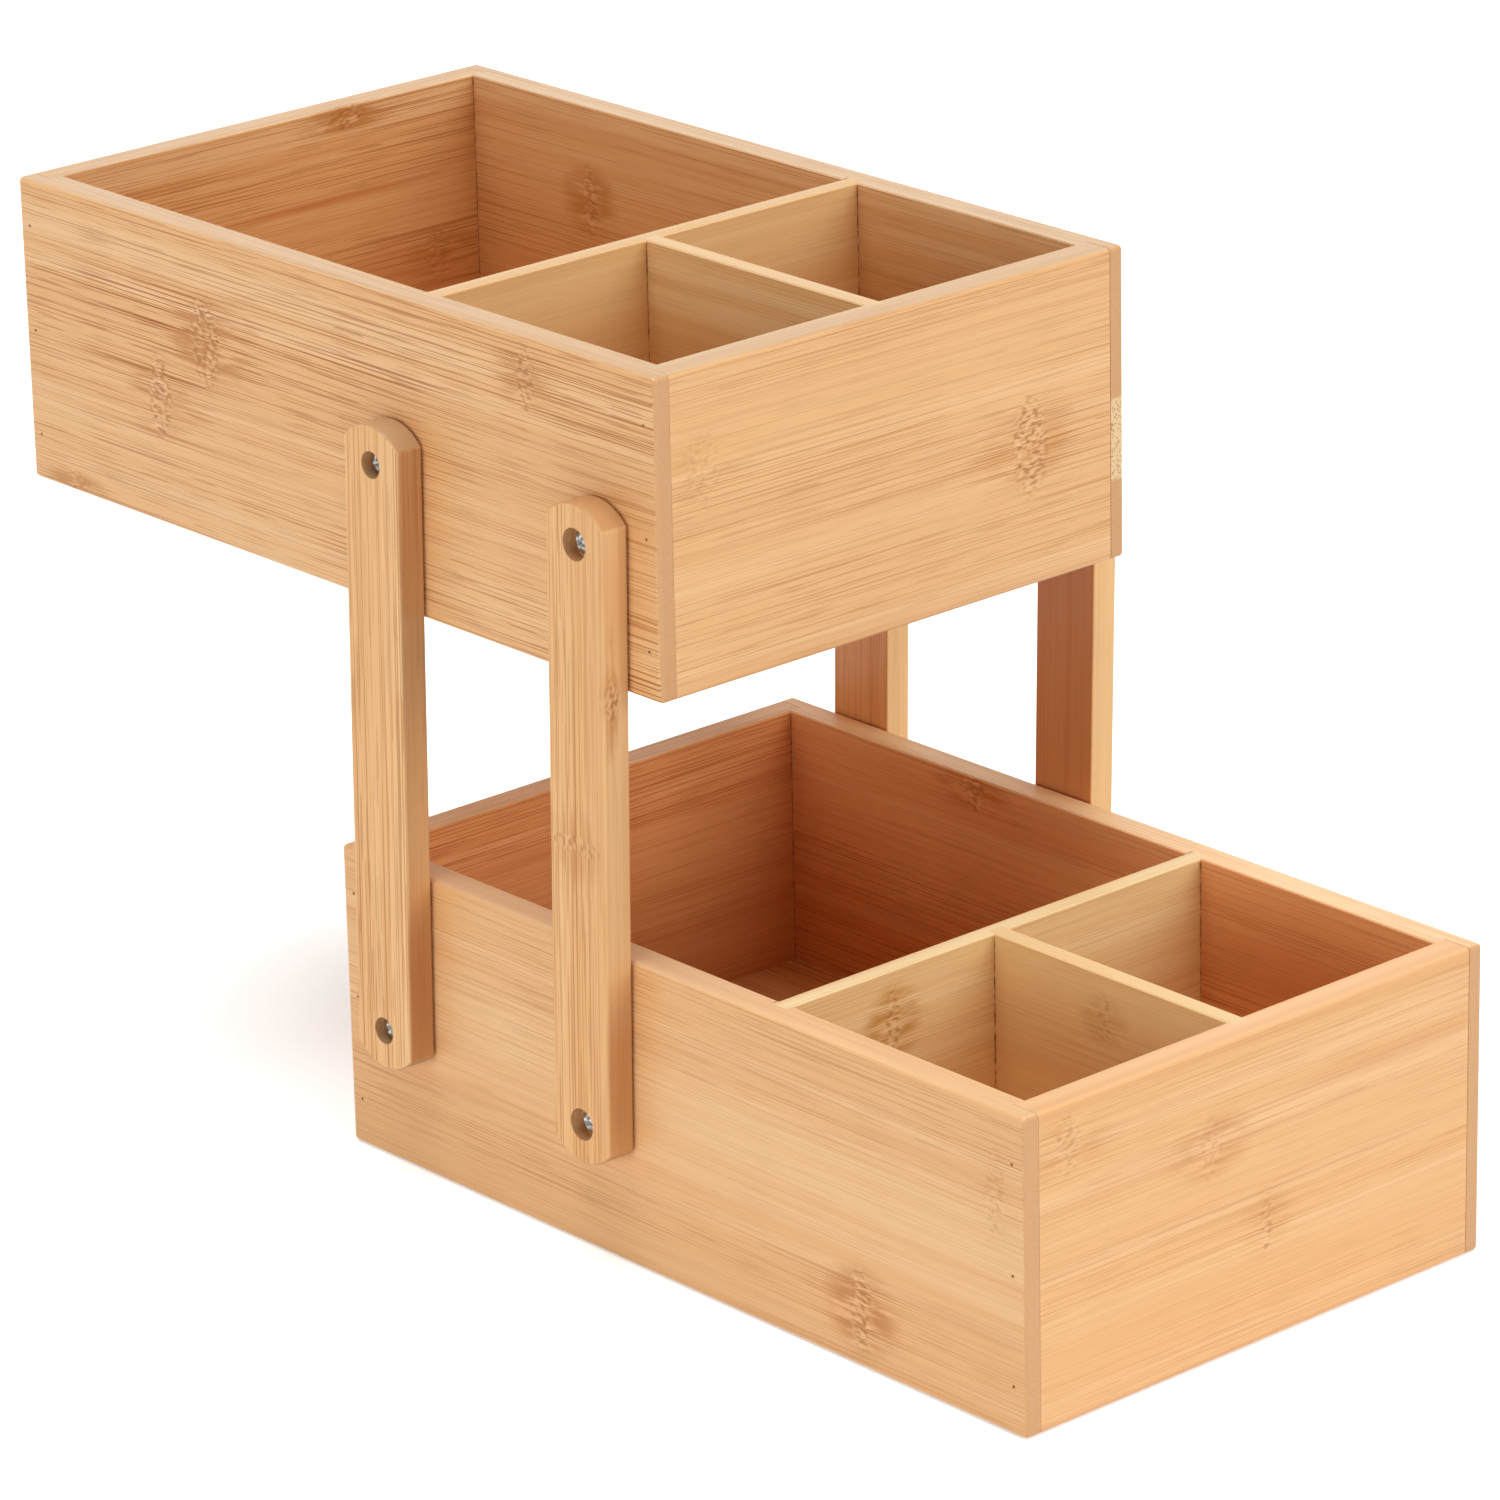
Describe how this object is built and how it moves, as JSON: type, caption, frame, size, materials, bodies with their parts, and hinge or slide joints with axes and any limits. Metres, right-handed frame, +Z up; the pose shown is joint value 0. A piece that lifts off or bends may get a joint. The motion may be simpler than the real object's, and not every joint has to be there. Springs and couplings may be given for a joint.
{
  "type": "vanity organizer",
  "caption": "Tiered bamboo vanity organizer: open divided boxes joined by flat side arms on recessed screws, so that the upper box swings forward and stacks on the lower one.",
  "frame": {"origin": "on the table plane, at the middle of the whole organizer's footprint, midway between the two boxes", "axes": "+X to the right, +Y to the back, +Z up; the small compartments are at the front, -Y"},
  "size_m": [0.2064, 0.4484, 0.2798],
  "materials": {
    "bamboo_boards": "satin clear coat",
    "bamboo_base": "satin clear coat",
    "bamboo_dividers": "satin clear coat",
    "bamboo_arms": "satin clear coat",
    "brad_steel": "dull, set below the face",
    "zinc_screws": "bright zinc",
    "zinc_washers": "zinc"
  },
  "bodies": {
    "lower_box": {"lower_left_side": "bamboo_boards", "lower_right_side": "bamboo_boards", "lower_front_panel": "bamboo_boards", "lower_back_panel": "bamboo_boards", "lower_base_panel": "bamboo_base", "lower_cross_divider": "bamboo_dividers", "lower_short_divider": "bamboo_dividers", "lower_corner_brads": "brad_steel", "lower_pivot_screws": "zinc_screws", "lower_pivot_washers": "zinc_washers"},
    "left_rear_arm": {"left_rear_arm": "bamboo_arms"},
    "left_front_arm": {"left_front_arm": "bamboo_arms"},
    "right_rear_arm": {"right_rear_arm": "bamboo_arms"},
    "right_front_arm": {"right_front_arm": "bamboo_arms"},
    "upper_box": {"upper_left_side": "bamboo_boards", "upper_right_side": "bamboo_boards", "upper_front_panel": "bamboo_boards", "upper_back_panel": "bamboo_boards", "upper_base_panel": "bamboo_base", "upper_cross_divider": "bamboo_dividers", "upper_short_divider": "bamboo_dividers", "upper_corner_brads": "brad_steel", "upper_pivot_screws": "zinc_screws", "upper_pivot_washers": "zinc_washers"}
  },
  "joints": [
    {"name": "left_rear_arm_fold", "type": "hinge", "parent": "lower_box", "child": "left_rear_arm", "pos_m": [-0.0984, 0.0458, 0.048], "axis": [1, 0, 0], "range_deg": [-73.6, 55.8]},
    {"name": "left_front_arm_fold", "type": "hinge", "parent": "lower_box", "child": "left_front_arm", "pos_m": [-0.0984, -0.0462, 0.0452], "axis": [1, 0, 0], "range_deg": [-73.6, 55.8]},
    {"name": "right_rear_arm_fold", "type": "hinge", "parent": "lower_box", "child": "right_rear_arm", "pos_m": [0.0984, 0.0458, 0.048], "axis": [1, 0, 0], "range_deg": [-73.6, 55.8]},
    {"name": "right_front_arm_fold", "type": "hinge", "parent": "lower_box", "child": "right_front_arm", "pos_m": [0.0984, -0.0462, 0.0452], "axis": [1, 0, 0], "range_deg": [-73.6, 55.8]},
    {"name": "upper_box_level", "type": "hinge", "parent": "left_rear_arm", "child": "upper_box", "pos_m": [-0.0984, 0.0412, 0.2298], "axis": [1, 0, 0], "range_deg": [-55.8, 73.6]}
  ],
  "couplings": [
    {"joint": "left_front_arm_fold", "follows": "left_rear_arm_fold", "ratio": 1},
    {"joint": "right_rear_arm_fold", "follows": "left_rear_arm_fold", "ratio": 1},
    {"joint": "right_front_arm_fold", "follows": "left_rear_arm_fold", "ratio": 1},
    {"joint": "upper_box_level", "follows": "left_rear_arm_fold", "ratio": -1}
  ]
}
